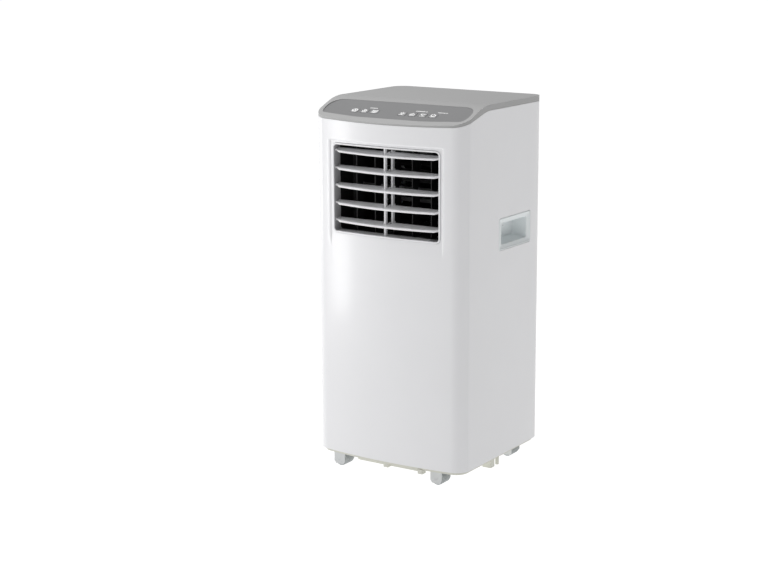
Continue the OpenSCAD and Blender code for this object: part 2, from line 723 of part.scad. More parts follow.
base_pan();
front_panel();
side_panel(-1);  // side_panel_left
side_panel(1);  // side_panel_right
rear_panel();
top_cover();
control_fascia();
display_board();
louver_frame();
handle(-1);  // handle_left
handle(1);  // handle_right
coil(evap_coil);  // evaporator
coil(cond_coil);  // condenser
mid_deck();
evaporator_scroll();
condenser_scroll();
fan_motors();
compressor();
compressor_mounts();
refrigerant_pipes();
control_box();
main_board();
splash_motor();
exhaust_collar();
cord_gland();
screws();
louver_blade(0);  // louver_blade_1
louver_blade(1);  // louver_blade_2
louver_blade(2);  // louver_blade_3
louver_blade(3);  // louver_blade_4
louver_blade(4);  // louver_blade_5
louver_link();
vane(0);  // vane_1
vane(1);  // vane_2
vane(2);  // vane_3
vane(3);  // vane_4
vane(4);  // vane_5
vane_link();
drum_fan(evap_y, evap_z, evap_fan_r, evap_w - 16, 30, 1);  // evaporator_fan
drum_fan(cond_y, collar_z, cond_fan_r, cond_w - 16, 30, -1);  // condenser_fan
splash_wheel();
filter_panel(upper_open);  // upper_filter
filter_panel(lower_open);  // lower_filter
drain_plug(drain_upper);  // drain_plug_upper
drain_plug(drain_lower);  // drain_plug_lower
caster_fork(-caster_x, -caster_y, 0);  // caster_fork_front_left
caster_fork(caster_x, -caster_y, 0);  // caster_fork_front_right
caster_fork(-caster_x, caster_y, 180);  // caster_fork_rear_left
caster_fork(caster_x, caster_y, 180);  // caster_fork_rear_right
caster_wheel(-caster_x, -caster_y, 0);  // caster_wheel_front_left
caster_wheel(caster_x, -caster_y, 0);  // caster_wheel_front_right
caster_wheel(-caster_x, caster_y, 180);  // caster_wheel_rear_left
caster_wheel(caster_x, caster_y, 180);  // caster_wheel_rear_right
key(0);  // key_1
key(1);  // key_2
key(2);  // key_3
key(3);  // key_4
key(4);  // key_5
key(5);  // key_6
key(6);  // key_7
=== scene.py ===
import json
import math

import bpy
import bmesh
from mathutils import Matrix, Vector

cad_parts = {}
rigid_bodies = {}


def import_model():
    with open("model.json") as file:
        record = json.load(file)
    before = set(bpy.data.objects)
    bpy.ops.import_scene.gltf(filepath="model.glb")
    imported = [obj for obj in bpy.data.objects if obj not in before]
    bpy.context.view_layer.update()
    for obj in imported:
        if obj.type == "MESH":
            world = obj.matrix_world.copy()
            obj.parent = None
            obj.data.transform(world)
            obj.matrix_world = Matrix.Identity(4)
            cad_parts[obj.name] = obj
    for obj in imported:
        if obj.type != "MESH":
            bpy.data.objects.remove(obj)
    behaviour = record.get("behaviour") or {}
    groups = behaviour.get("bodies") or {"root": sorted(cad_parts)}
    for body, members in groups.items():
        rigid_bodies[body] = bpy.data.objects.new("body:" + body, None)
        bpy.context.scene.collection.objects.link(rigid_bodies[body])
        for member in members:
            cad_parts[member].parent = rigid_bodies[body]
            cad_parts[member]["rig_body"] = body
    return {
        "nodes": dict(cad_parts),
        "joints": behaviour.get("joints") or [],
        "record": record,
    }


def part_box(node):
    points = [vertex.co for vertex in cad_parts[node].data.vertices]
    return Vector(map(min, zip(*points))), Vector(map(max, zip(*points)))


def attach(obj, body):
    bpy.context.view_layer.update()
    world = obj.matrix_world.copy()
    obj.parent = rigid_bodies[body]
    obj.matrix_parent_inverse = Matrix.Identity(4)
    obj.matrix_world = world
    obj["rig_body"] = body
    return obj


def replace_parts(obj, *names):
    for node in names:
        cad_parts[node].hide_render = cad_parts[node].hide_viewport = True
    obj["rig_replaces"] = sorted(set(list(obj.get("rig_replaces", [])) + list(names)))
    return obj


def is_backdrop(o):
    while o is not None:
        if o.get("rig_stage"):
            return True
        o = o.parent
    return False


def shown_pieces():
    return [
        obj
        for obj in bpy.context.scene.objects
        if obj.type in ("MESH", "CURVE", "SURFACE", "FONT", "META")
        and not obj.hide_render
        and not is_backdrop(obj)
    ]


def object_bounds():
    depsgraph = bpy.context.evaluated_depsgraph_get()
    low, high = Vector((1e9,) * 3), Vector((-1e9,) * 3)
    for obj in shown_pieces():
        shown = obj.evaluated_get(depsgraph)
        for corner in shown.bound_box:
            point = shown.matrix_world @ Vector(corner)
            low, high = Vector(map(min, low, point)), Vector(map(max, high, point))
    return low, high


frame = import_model()
CAD_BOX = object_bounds()
NODES = frame["nodes"]
BODY_OF = {name: obj["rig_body"] for name, obj in NODES.items()}
SLOT_OF = {row["node"]: row["material_slot"] for row in frame["record"]["subparts"]}
JOINTS = {joint["name"]: joint for joint in frame["joints"]}
MM = 0.001


def box(node):
    """Lowest and highest corner of a CAD node, in millimetres."""
    low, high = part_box(node)
    return low / MM, high / MM


# ---------------------------------------------------------------- driving dimensions, in millimetres

LOW, HIGH = (corner / MM for corner in CAD_BOX)
HALF_W = HIGH.x
FRONT, BACK, TOP = LOW.y, HIGH.y, HIGH.z
BOW_R = 1000.0          # bow of the front, seen from above
BOW_CY = FRONT + BOW_R
CORNER_R = 30.0         # front corners
WALL = 2.5              # of the moulded shells
TOP_SLOPE = math.radians(22.5)
BLEND_R = 120.0         # bend between the flat top and the slope
BLEND_Y = -45.0         # where that bend begins
SPLIT_Z = 685.0         # seam under the cover, at the back
SPLIT_SLOPE = math.radians(16)
SPLIT_R = 100.0
SEAM_GAP = 0.3
BLADES = 5
VANES = 5
KEYS = 7


# ---------------------------------------------------------------- camera, light and floor

CAM_AZIMUTH = 32.2      # degrees from the front, towards the right side
CAM_ELEVATION = 12.25
CAM_DISTANCE = 3.205    # metres from the middle of the object
CAM_LENS = 80.0
CAM_SENSOR = 36.0
CAM_CLIP = 100.0
SHIFT_X = -0.0573       # the object stands right of the picture's middle
SHIFT_Y = -0.0079

WORLD_STRENGTH = 0.25
CENTRE = (0, 0, 0.35)
LIGHTS = [              # name, place, target, size in metres, power in watts
    ("key", (-2.3, -0.5, 0.9), CENTRE, (0.7, 2.0), 12),
    ("top", (-0.5, -0.15, 2.6), CENTRE, (1.2, 1.2), 34),
    ("strip", (-0.76, -0.78, 0.46), (-0.12, -0.14, 0.46), (0.12, 0.74), 1.8),
]
FLOOR_REACH = 60.0      # so large that its edge lies outside the main view
FLOOR_SHADE = 0.15
FLOOR_GLOW = 0.975      # brings the floor up to a blank white


def set_camera():
    az, el = math.radians(CAM_AZIMUTH), math.radians(CAM_ELEVATION)
    back = Vector((math.sin(az) * math.cos(el), -math.cos(az) * math.cos(el), math.sin(el)))
    middle = (CAD_BOX[0] + CAD_BOX[1]) / 2
    data = bpy.data.cameras.new("camera")
    data.lens = CAM_LENS
    data.sensor_width = CAM_SENSOR
    data.shift_x, data.shift_y = SHIFT_X, SHIFT_Y
    data.clip_end = CAM_CLIP
    camera = bpy.data.objects.new("camera", data)
    bpy.context.scene.collection.objects.link(camera)
    camera.location = middle + back * CAM_DISTANCE
    camera.rotation_mode = "QUATERNION"
    camera.rotation_quaternion = (-back).to_track_quat("-Z", "Y")
    bpy.context.scene.camera = camera


def area_light(name, location, target, size, power):
    data = bpy.data.lights.new(name, "AREA")
    data.shape = "RECTANGLE"
    data.size, data.size_y = size
    data.energy = power
    light = bpy.data.objects.new(name, data)
    bpy.context.scene.collection.objects.link(light)
    light.location = location
    light.rotation_mode = "QUATERNION"
    light.rotation_quaternion = (Vector(target) - Vector(location)).to_track_quat("-Z", "Y")
    light.visible_camera = False


def set_world():
    world = bpy.data.worlds.new("studio")
    bpy.context.scene.world = world
    world.use_nodes = True
    background = world.node_tree.nodes["Background"]
    background.inputs["Color"].default_value = (1, 1, 1, 1)
    background.inputs["Strength"].default_value = WORLD_STRENGTH
    bpy.context.scene.view_settings.view_transform = "Standard"


def add_floor():
    mesh = bpy.data.meshes.new("floor")
    corners = [(x * FLOOR_REACH, y * FLOOR_REACH, 0) for x, y in ((-1, -1), (1, -1), (1, 1), (-1, 1))]
    mesh.from_pydata(corners, [], [(0, 1, 2, 3)])
    floor = bpy.data.objects.new("floor", mesh)
    bpy.context.scene.collection.objects.link(floor)
    mat = bpy.data.materials.new("floor_pale")
    mat.use_nodes = True
    shader = mat.node_tree.nodes["Principled BSDF"]
    shader.inputs["Base Color"].default_value = (FLOOR_SHADE, FLOOR_SHADE, FLOOR_SHADE, 1)
    shader.inputs["Roughness"].default_value = 0.9
    shader.inputs["Emission Color"].default_value = (1, 1, 1, 1)
    shader.inputs["Emission Strength"].default_value = FLOOR_GLOW
    mesh.materials.append(mat)
    floor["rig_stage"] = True


def set_stage():
    set_world()
    for light in LIGHTS:
        area_light(*light)
    add_floor()


# ---------------------------------------------------------------- materials

COAT_ROUGHNESS = 0.16
BAND_STEP = 0.314       # distance between a wave texture's bands at a scale of 1


def srgb(value):
    """Linear value of an 8-bit display shade."""
    share = value / 255
    return share / 12.92 if share <= 0.04045 else ((share + 0.055) / 1.055) ** 2.4


def shade(red, green, blue):
    """Linear colour of an 8-bit display colour."""
    return (srgb(red), srgb(green), srgb(blue), 1)


def dimmed(colour, share):
    return tuple(c * share for c in colour[:3]) + (1,)


def node_material(name, roughness, metallic=0.0):
    mat = bpy.data.materials.new(name)
    mat.use_nodes = True
    nodes, links = mat.node_tree.nodes, mat.node_tree.links
    shader = nodes["Principled BSDF"]
    shader.inputs["Roughness"].default_value = roughness
    shader.inputs["Metallic"].default_value = metallic
    place = nodes.new("ShaderNodeTexCoord")
    return mat, nodes, links, shader, place.outputs["Object"]


def noise(nodes, links, place, scale, detail=3.0, roughness=0.55):
    tex = nodes.new("ShaderNodeTexNoise")
    tex.inputs["Scale"].default_value = scale
    tex.inputs["Detail"].default_value = detail
    tex.inputs["Roughness"].default_value = roughness
    links.new(place, tex.inputs["Vector"])
    return tex.outputs["Fac"]


def ramp_between(nodes, links, factor, low, high, start=0.3, end=0.7):
    ramp = nodes.new("ShaderNodeValToRGB")
    ramp.color_ramp.elements[0].position = start
    ramp.color_ramp.elements[1].position = end
    ramp.color_ramp.elements[0].color = low
    ramp.color_ramp.elements[1].color = high
    links.new(factor, ramp.inputs["Fac"])
    return ramp.outputs["Color"]


def bump(nodes, links, shader, height, distance, strength=1.0):
    node = nodes.new("ShaderNodeBump")
    node.inputs["Distance"].default_value = distance
    node.inputs["Strength"].default_value = strength
    links.new(height, node.inputs["Height"])
    links.new(node.outputs["Normal"], shader.inputs["Normal"])


def spread(nodes, links, factor, shader, socket, low, high):
    """Feeds the factor, mapped to the range from low to high, into one of the shader's sockets."""
    mapped = nodes.new("ShaderNodeMapRange")
    mapped.inputs["To Min"].default_value = low
    mapped.inputs["To Max"].default_value = high
    links.new(factor, mapped.inputs["Value"])
    links.new(mapped.outputs["Result"], shader.inputs[socket])


def bands(nodes, links, place, axis, spacing):
    """Soft bands across an axis, spacing metres apart."""
    wave = nodes.new("ShaderNodeTexWave")
    wave.wave_type = "BANDS"
    wave.bands_direction = axis
    wave.inputs["Scale"].default_value = BAND_STEP / spacing
    links.new(place, wave.inputs["Vector"])
    return wave.outputs["Fac"]


def plastic(name, colour, roughness=0.38, grain=900, depth=0.00003, variation=0.02, coat=0.0):
    """Moulded plastic: slight colour drift, spark-eroded grain in the bump, uneven gloss."""
    mat, nodes, links, shader, place = node_material(name, roughness)
    drift = noise(nodes, links, place, 7)
    links.new(ramp_between(nodes, links, drift, dimmed(colour, 1 - variation), colour),
              shader.inputs["Base Color"])
    fine = noise(nodes, links, place, grain, 4)
    gloss = noise(nodes, links, place, 60)
    spread(nodes, links, gloss, shader, "Roughness", roughness - 0.05, roughness + 0.05)
    bump(nodes, links, shader, fine, depth, 0.6)
    shader.inputs["Coat Weight"].default_value = coat
    shader.inputs["Coat Roughness"].default_value = COAT_ROUGHNESS
    return mat


def metal(name, colour, roughness=0.35):
    """Sheet or bar metal with drawn streaks and slight tarnish."""
    mat, nodes, links, shader, place = node_material(name, roughness, 1.0)
    mapping = nodes.new("ShaderNodeMapping")
    mapping.inputs["Scale"].default_value = (40, 40, 900)
    links.new(place, mapping.inputs["Vector"])
    streaks = noise(nodes, links, mapping.outputs["Vector"], 1.0, 2)
    links.new(ramp_between(nodes, links, streaks, dimmed(colour, 0.8), colour), shader.inputs["Base Color"])
    spread(nodes, links, streaks, shader, "Roughness", roughness - 0.08, roughness + 0.12)
    bump(nodes, links, shader, streaks, 0.00002)
    return mat


def fins(name, colour, spacing):
    """Stack of thin upright fins, seen edge on; the dark gaps between them are painted shade."""
    mat, nodes, links, shader, place = node_material(name, 0.4, 1.0)
    edges = bands(nodes, links, place, "X", spacing)
    # nearly black bands: painted shade in the gaps between the fins
    links.new(ramp_between(nodes, links, edges, dimmed(colour, 0.12), colour, 0.35, 0.75),
              shader.inputs["Base Color"])
    bump(nodes, links, shader, edges, 0.0008)
    return mat


def rubber(name, colour, roughness=0.7):
    """Dull rubber or tyre plastic with pale dust on it."""
    mat, nodes, links, shader, place = node_material(name, roughness)
    dust = noise(nodes, links, place, 130, 5, 0.7)
    pale = tuple(min(1, c * 1.5 + 0.01) for c in colour[:3]) + (1,)
    links.new(ramp_between(nodes, links, dust, colour, pale, 0.45, 0.8), shader.inputs["Base Color"])
    bump(nodes, links, shader, dust, 0.00006)
    return mat


def circuit_board(name):
    mat, nodes, links, shader, place = node_material(name, 0.35)
    cells = nodes.new("ShaderNodeTexBrick")
    cells.inputs["Scale"].default_value = 220
    cells.inputs["Color1"].default_value = shade(18, 84, 44)
    cells.inputs["Color2"].default_value = shade(24, 102, 54)
    cells.inputs["Mortar"].default_value = shade(150, 160, 110)
    cells.inputs["Mortar Size"].default_value = 0.03
    links.new(place, cells.inputs["Vector"])
    links.new(cells.outputs["Color"], shader.inputs["Base Color"])
    bump(nodes, links, shader, noise(nodes, links, place, 400), 0.00005)
    return mat


def mesh_cloth(name, colour, pitch):
    """Fine woven filter net: a square weave of threads, its holes painted dark as painted shade behind the
    net.
    """
    mat, nodes, links, shader, place = node_material(name, 0.6)
    threads = nodes.new("ShaderNodeMath")
    threads.operation = "MAXIMUM"
    for socket, axis in enumerate(("X", "Z")):
        links.new(bands(nodes, links, place, axis, pitch), threads.inputs[socket])
    height = threads.outputs["Value"]
    # the threads keep the net's colour; the dark end of the ramp is painted shade in the holes
    links.new(ramp_between(nodes, links, height, dimmed(colour, 0.08), colour, 0.55, 0.85),
              shader.inputs["Base Color"])
    bump(nodes, links, shader, height, 0.0003)
    return mat


def make_materials():
    return {
        "shell_white": plastic("shell_white", shade(238, 238, 240), 0.33, coat=0.55),
        "blade_white": plastic("blade_white", shade(240, 240, 242), 0.36),
        # grey painted on the sleeve's walls behind its mouth, as painted shade
        "sleeve_painted_shade": plastic("sleeve_painted_shade", shade(176, 176, 178), 0.5),
        "base_cream": plastic("base_cream", shade(218, 218, 208), 0.5),
        "cover_grey": plastic("cover_grey", shade(174, 174, 174), 0.42, grain=700, depth=0.00005),
        "fascia_grey": plastic("fascia_grey", shade(134, 134, 135), 0.36, grain=1100),
        "handle_white": plastic("handle_white", shade(236, 241, 242), 0.35),
        "caster_white": plastic("caster_white", shade(214, 216, 217), 0.4),
        "print_white": plastic("print_white", shade(250, 250, 250), 0.5, variation=0.01),
        "wheel_grey": rubber("wheel_grey", shade(158, 162, 163), 0.55),
        "duct_black": plastic("duct_black", shade(12, 12, 13), 0.55),
        "coil_metal": fins("coil_metal", shade(205, 208, 212), 0.0018),
        "motor_steel": metal("motor_steel", shade(186, 188, 190)),
        "compressor_black": plastic("compressor_black", shade(26, 26, 28), 0.3, coat=0.4),
        "rubber_black": rubber("rubber_black", shade(24, 24, 24)),
        "copper": metal("copper", shade(206, 132, 92), 0.3),
        "board_green": circuit_board("board_green"),
        "filter_net": mesh_cloth("filter_net", shade(120, 122, 124), 0.0016),
    }


# ---------------------------------------------------------------- mesh helpers

def add_piece(name, bm, material, node, replaces=(), smooth_angle=32):
    """Turns a bmesh in millimetres into a piece that rides on the node's body."""
    bmesh.ops.recalc_face_normals(bm, faces=bm.faces)
    mesh = bpy.data.meshes.new(name)
    bm.to_mesh(mesh)
    bm.free()
    mesh.transform(Matrix.Scale(MM, 4))
    obj = bpy.data.objects.new(name, mesh)
    bpy.context.scene.collection.objects.link(obj)
    mesh.materials.append(material)
    mesh.shade_smooth()
    mesh.set_sharp_from_angle(angle=math.radians(smooth_angle))
    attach(obj, BODY_OF[node])
    if replaces:
        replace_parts(obj, *replaces)
    return obj


def add_bevel(obj, width, segments=2, angle=35):
    """Rounds the sharp edges; width in millimetres."""
    mod = obj.modifiers.new("edges", "BEVEL")
    mod.width = width * MM
    mod.segments = segments
    mod.limit_method = "ANGLE"
    mod.angle_limit = math.radians(angle)
    mod.use_clamp_overlap = True
    mod.harden_normals = True


def refine(node, material, bevel, segments=2):
    """A clean copy of a CAD node with merged faces and rounded edges, which stands for it."""
    bm = bmesh.new()
    bm.from_mesh(NODES[node].data)
    bmesh.ops.transform(bm, matrix=Matrix.Scale(1 / MM, 4), verts=bm.verts)
    bmesh.ops.remove_doubles(bm, verts=bm.verts, dist=0.005)
    bmesh.ops.dissolve_limit(bm, angle_limit=math.radians(0.5), verts=bm.verts, edges=bm.edges)
    obj = add_piece(node + "_moulding", bm, material, node, [node])
    if "custom_normal" in obj.data.attributes:
        obj.data.attributes.remove(obj.data.attributes["custom_normal"])
    if bevel:
        add_bevel(obj, bevel, segments)
    return obj


def skin(bm, rows, closed=False, caps=False):
    """Faces between rows of vertices; each row is a closed ring when closed is set."""
    made = [[bm.verts.new(p) for p in row] for row in rows]
    for a, b in zip(made, made[1:]):
        n = len(a)
        for i in range(n if closed else n - 1):
            j = (i + 1) % n
            bm.faces.new((a[i], a[j], b[j], b[i]))
    if caps:
        bm.faces.new(list(reversed(made[0])))
        bm.faces.new(made[-1])
    return made


def turned(bm, profile, centre, steps):
    """Solid turned about a line along Y; profile is a list of (radius, y) points from axis to axis."""
    rings = []
    for radius, along in profile[1:-1]:
        turns = (2 * math.pi * k / steps for k in range(steps))
        rings.append([bm.verts.new(centre + Vector((radius * math.sin(t), along, radius * math.cos(t))))
                      for t in turns])
    for a, b in zip(rings, rings[1:]):
        for k in range(steps):
            n = (k + 1) % steps
            bm.faces.new((a[k], a[n], b[n], b[k]))
    for ring, (_, along) in ((rings[0], profile[0]), (rings[-1], profile[-1])):
        hub = bm.verts.new(centre + Vector((0, along, 0)))
        for k in range(steps):
            bm.faces.new((ring[k], ring[(k + 1) % steps], hub))


def rod(bm, start, end, radius, steps=16):
    """Round bar between two points, with a small chamfer at both ends."""
    a, b = Vector(start), Vector(end)
    line = (b - a).normalized()
    side = line.orthogonal().normalized()
    other = line.cross(side)
    nick = min(0.3, radius * 0.3)
    rings = ((a, radius - nick), (a + line * nick, radius), (b - line * nick, radius), (b, radius - nick))
    rows = []
    for point, r in rings:
        rows.append([point + (side * math.cos(t) + other * math.sin(t)) * r
                     for t in (2 * math.pi * k / steps for k in range(steps))])
    skin(bm, rows, closed=True, caps=True)


def slab(bm, low, high):
    """Box from corner to corner."""
    cube = bmesh.ops.create_cube(bm, size=1)["verts"]
    low, high = Vector(low), Vector(high)
    bmesh.ops.transform(bm, verts=cube, matrix=Matrix.Translation((low + high) / 2)
                        @ Matrix.Diagonal((*(high - low), 1)))


def smooth_step(value):
    """Eases from 0 to 1."""
    value = min(1.0, max(0.0, value))
    return value * value * (3 - 2 * value)


def spaced(start, end, step):
    """Evenly spaced values from start to end, both included, about step apart."""
    count = max(1, round(abs(end - start) / step))
    return [start + (end - start) * i / count for i in range(count + 1)]


def bow_drop(x):
    """How far the bowed front lies behind its middle."""
    return BOW_R - math.sqrt(BOW_R * BOW_R - x * x)


def side_height(y, z, radius, slope):
    """Height of the cover's line seen from the side: level, bend, then slope towards the front."""
    run = BLEND_Y - y
    if run <= 0:
        return z
    bend = radius * math.sin(slope)
    if run <= bend:
        return z - radius + math.sqrt(radius * radius - run * run)
    return z - radius * (1 - math.cos(slope)) - (run - bend) * math.tan(slope)


def seam_height(y):
    return side_height(y, SPLIT_Z, SPLIT_R, SPLIT_SLOPE)


# ---------------------------------------------------------------- front panel

CORNER_CX = HALF_W - CORNER_R
CORNER_CY = BOW_CY - math.sqrt((BOW_R - CORNER_R) ** 2 - CORNER_CX ** 2)
BOW_ANGLE = math.atan2(CORNER_CX, BOW_CY - CORNER_CY)
BOW_LEN = BOW_R * BOW_ANGLE
CORNER_LEN = CORNER_R * (math.pi / 2 - BOW_ANGLE)


def wrap_point(s, z, out):
    """Point of the housing's front wrap: s along the outline from the middle, out along the normal."""
    side = 1 if s >= 0 else -1
    run = abs(s)
    if run <= BOW_LEN:
        angle = run / BOW_R
        x, y = (BOW_R + out) * math.sin(angle), BOW_CY - (BOW_R + out) * math.cos(angle)
    elif run <= BOW_LEN + CORNER_LEN:
        angle = BOW_ANGLE + (run - BOW_LEN) / CORNER_R
        x = CORNER_CX + (CORNER_R + out) * math.sin(angle)
        y = CORNER_CY - (CORNER_R + out) * math.cos(angle)
    else:
        x, y = HALF_W + out, CORNER_CY + run - BOW_LEN - CORNER_LEN
    return Vector((side * x, y, z))


OPENING_CLEAR = 0.4     # between the opening and the sleeve
OPENING_CORNER = 9.0
MARGIN = 3.6            # flat border around the opening
RECESS_DEPTH = 1.3      # the border lies this far below the front
RECESS_EDGE = 2.6       # width of the soft step up to the front
FADE = (2.0, 30.0)      # the recess runs out between these distances below the opening
LIP_R = 1.1             # rounding of the opening's edge
CORNER_CUTS = 6


def nearest(values, wanted):
    """Index of the value that lies nearest to the wanted one."""
    return min(range(len(values)), key=lambda i: abs(values[i] - wanted))


def rounded_point(s, z, half_s, half_z, mid_z, grow):
    """Point of the rounded opening, grown by grow, that belongs to a point (s, z) of the square grid."""
    core_s, core_z = half_s - OPENING_CORNER, half_z - OPENING_CORNER
    radius = OPENING_CORNER + grow
    u, v = abs(s) - core_s, abs(z - mid_z) - core_z
    if u > 1e-6 and v > 1e-6:
        turn = (u / v if u < v else 2 - v / u) * math.pi / 4
        u, v = radius * math.sin(turn), radius * math.cos(turn)
    elif u > 1e-6:
        u = radius
    else:
        v = radius
    return math.copysign(core_s + u, s), mid_z + math.copysign(core_z + v, z - mid_z)


def build_front_panel(material):
    """The bowed front as a grid along its outline and up, with a recessed border around its opening."""
    low, high = box("front_panel")
    sleeve_low, sleeve_high = box("louver_frame")
    s_open = BOW_R * math.asin((sleeve_high.x + OPENING_CLEAR) / BOW_R)
    z_lo, z_hi = sleeve_low.z - OPENING_CLEAR, sleeve_high.z + OPENING_CLEAR
    s_rim, rim_lo, rim_hi = s_open + MARGIN, z_lo - MARGIN, z_hi + MARGIN
    fade_from, fade_to = (z_lo - below for below in FADE)
    seam_turn = math.acos((CORNER_CY - high.y) / CORNER_R)
    seam_s = BOW_LEN + CORNER_R * (seam_turn - BOW_ANGLE)
    flat_top = z_hi + 12

    def sink(s, z):
        across = 1 - smooth_step((abs(s) - s_rim) / RECESS_EDGE)
        above = 1 - smooth_step((z - rim_hi) / RECESS_EDGE)
        below = smooth_step((z - fade_to) / (fade_from - fade_to))
        return -RECESS_DEPTH * across * above * below

    def place(s, z, out):
        """Above flat_top the rows are stretched so that the last one follows the seam."""
        if z > flat_top:
            height = seam_height(wrap_point(s, z, 0).y) - SEAM_GAP
            z = flat_top + (z - flat_top) * (height - flat_top) / (high.z - flat_top)
        return wrap_point(s, z, out)

    fine = (OPENING_CORNER + MARGIN) / CORNER_CUTS
    s_half = (spaced(0, s_open - OPENING_CORNER, 7)[:-1]
              + spaced(s_open - OPENING_CORNER, s_rim, fine)
              + spaced(s_rim, s_rim + RECESS_EDGE, 0.65)[1:]
              + spaced(s_rim + RECESS_EDGE, BOW_LEN, 6)[1:]
              + spaced(BOW_LEN, seam_s, 1.6)[1:])
    s_lines = [-s for s in reversed(s_half[1:])] + s_half
    z_lines = (spaced(low.z, fade_to, 18)
               + spaced(fade_to, rim_lo, 2.5)[1:]
               + spaced(rim_lo, z_lo + OPENING_CORNER, fine)[1:]
               + spaced(z_lo + OPENING_CORNER, z_hi - OPENING_CORNER, 9)[1:]
               + spaced(z_hi - OPENING_CORNER, rim_hi, fine)[1:]
               + spaced(rim_hi, rim_hi + RECESS_EDGE, 0.65)[1:]
               + spaced(rim_hi + RECESS_EDGE, flat_top, 2)[1:]
               + spaced(flat_top, high.z, 5)[1:])
    i0, i1 = nearest(s_lines, -s_rim), nearest(s_lines, s_rim)
    j0, j1 = nearest(z_lines, rim_lo), nearest(z_lines, rim_hi)

    bm = bmesh.new()
    grid = {}
    for i, s in enumerate(s_lines):
        for j, z in enumerate(z_lines):
            if not (i0 < i < i1 and j0 < j < j1):
                grid[i, j] = bm.verts.new(place(s, z, sink(s, z)))
    for i in range(len(s_lines) - 1):
        for j in range(len(z_lines) - 1):
            if not (i0 <= i < i1 and j0 <= j < j1):
                bm.faces.new((grid[i, j], grid[i + 1, j], grid[i + 1, j + 1], grid[i, j + 1]))

    # from the grid's square hole in to the rounded opening, then over its lip
    edge = ([(i, j0) for i in range(i0, i1)] + [(i1, j) for j in range(j0, j1)]
            + [(i, j1) for i in range(i1, i0, -1)] + [(i0, j) for j in range(j1, j0, -1)])
    lip = [(1.8, 0.0), (LIP_R, 0.0)] + [
        (LIP_R * (1 - math.sin(t)), -LIP_R * (1 - math.cos(t))) for t in (0.5, 1.0, math.pi / 2)]
    loop = [grid[k] for k in edge]
    half_z, mid_z = (z_hi - z_lo) / 2, (z_hi + z_lo) / 2
    for grow, drop in lip:
        ring = []
        for i, j in edge:
            s, z = rounded_point(s_lines[i], z_lines[j], s_open, half_z, mid_z, grow)
            ring.append(bm.verts.new(place(s, z, drop - RECESS_DEPTH)))
        for k in range(len(ring)):
            n = (k + 1) % len(ring)
            bm.faces.new((loop[k], ring[k], ring[n], loop[n]))
        loop = ring
    obj = add_piece("front_panel_skin", bm, material, "front_panel", ["front_panel"], smooth_angle=50)
    solid = obj.modifiers.new("wall", "SOLIDIFY")
    solid.thickness = (WALL - RECESS_DEPTH) * MM
    solid.offset = -1
    add_bevel(obj, 0.35, 2, 60)


# ---------------------------------------------------------------- blades, link and vanes

BLADE_TILT = math.radians(16)
BLADE_HALF = 111.2      # half its length
BLADE_BACK = 10.0       # from the pivot to the rear edge
BLADE_NOSE = 12.9       # from the pivot to the tip of the front bead, in the middle
SWEEP = (10.0, 0.6)     # length of the swept-back ends, and their slope
WEB_T = 1.1             # half the thickness of the web
BEAD_R = 2.15
NECK = 4.0              # from the bead's centre to where the web has its full length
THROAT = 2.2            # from the bead's centre to where the web leaves it
PIN_R, PIN_L = 2.0, 3.1
RIB_SLOT = (-6.3, -1.7, -6.2)       # notch for the centre rib: from x to x, and its depth in y
LINK_SLOT = (0.5, 6.1, 4.0)         # notch for the link
LINK_ARM = 13.0         # from the pivot to the link's pin
LINK_PIN_R = 1.15


def blade_section(rear, nose):
    """Closed section of a blade as (y, z) points: round rear edge, flat web, round front bead."""
    rear_y, middle = rear - WEB_T, nose + BEAD_R
    tail = [(rear_y + WEB_T * math.cos(t), WEB_T * math.sin(t))
            for t in (math.pi / 2 - math.pi * k / 4 for k in range(5))]
    web = [rear_y + (middle + NECK - rear_y) * share for share in (0.25, 0.5, 0.75, 1)]
    under = [(y, -WEB_T) for y in web] + [(middle + THROAT, -WEB_T * 1.25)]
    bead = [(middle + BEAD_R * math.cos(t), BEAD_R * math.sin(t))
            for t in (math.radians(-50 - 260 * k / 8) for k in range(9))]
    return tail + under + bead + [(y, -z) for y, z in reversed(under)]


def blade_stations():
    """Where the sections of a blade stand, as (x, rear edge): closer at its ends and notches."""
    stations = [(x, BLADE_BACK) for x in spaced(-BLADE_HALF, BLADE_HALF, 6)]
    for x0, x1, rear in (RIB_SLOT, LINK_SLOT):
        stations = [(x, r) for x, r in stations if not x0 - 0.3 < x < x1 + 0.3]
        stations += [(x0 - 0.02, BLADE_BACK), (x0, rear), (x1, rear), (x1 + 0.02, BLADE_BACK)]
    stations += [(side * (BLADE_HALF - d), BLADE_BACK) for side in (-1, 1) for d in (10, 7.5, 5, 2.5)]
    return sorted(set(stations))


def build_blade(number, material):
    """Blade with its end pins, its notches and the link's pin, at its tilt at rest."""
    node = "louver_blade_%d" % number
    pivot = Vector(JOINTS[node + "_tilt"]["pos_m"]) / MM
    sweep, slope = SWEEP
    bm = bmesh.new()
    rows = []
    for x, rear in blade_stations():
        past = max(0.0, abs(x) - (BLADE_HALF - sweep))
        rows.append([(x, y, z) for y, z in blade_section(rear, -BLADE_NOSE + bow_drop(x) + slope * past)])
    skin(bm, rows, closed=True, caps=True)
    for side in (-1, 1):
        rod(bm, (side * (BLADE_HALF - 1), 0, 0), (side * (BLADE_HALF + PIN_L), 0, 0), PIN_R)
    # the link's pin, and the lug that holds it behind the web
    lug_x = LINK_SLOT[1]
    rod(bm, (1.2, LINK_ARM, 0), (lug_x + 0.3, LINK_ARM, 0), LINK_PIN_R, 12)
    slab(bm, (lug_x, BLADE_BACK - 3, -WEB_T), (lug_x + 1.6, LINK_ARM + 2, WEB_T))
    tilt = Matrix.Rotation(BLADE_TILT, 4, "X")
    bmesh.ops.transform(bm, verts=bm.verts, matrix=Matrix.Translation(pivot) @ tilt)
    add_piece(node + "_white", bm, material, node, [node], smooth_angle=48)


